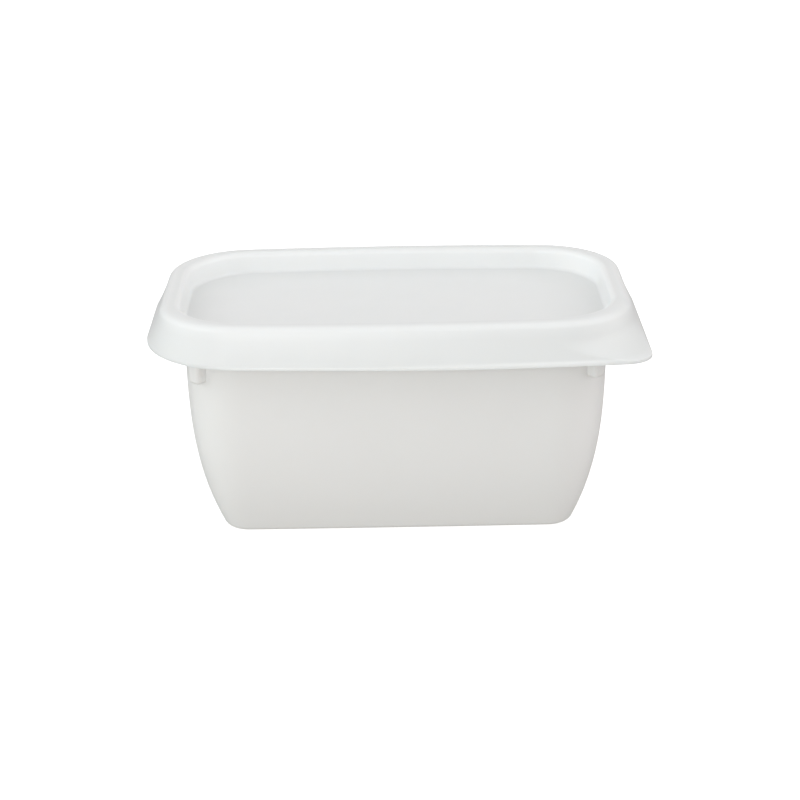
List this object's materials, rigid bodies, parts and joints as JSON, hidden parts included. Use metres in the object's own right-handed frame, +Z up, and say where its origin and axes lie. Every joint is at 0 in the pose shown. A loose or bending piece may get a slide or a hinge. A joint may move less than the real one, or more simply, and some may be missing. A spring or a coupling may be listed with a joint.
{
  "type": "plastic food container",
  "caption": "Shut rectangular plastic food tub with barrel-curved walls and a milky press-on lid with a raised rim, a recessed panel, a flaring skirt and a corner lift tab.",
  "frame": {"origin": "centre of the container's bounding box at the plane it stands on", "axes": "+X along the length, towards the lid's lift tab; -Y is the front long side; +Z up"},
  "size_m": [0.1496, 0.0908, 0.0723],
  "materials": {
    "tub_plastic": "opaque white polypropylene, satin, with a faint moulded grain",
    "lid_plastic": "milky translucent thin plastic, softly glossy"
  },
  "bodies": {
    "root": {"tub": "tub_plastic", "lid": "lid_plastic"}
  },
  "joints": []
}
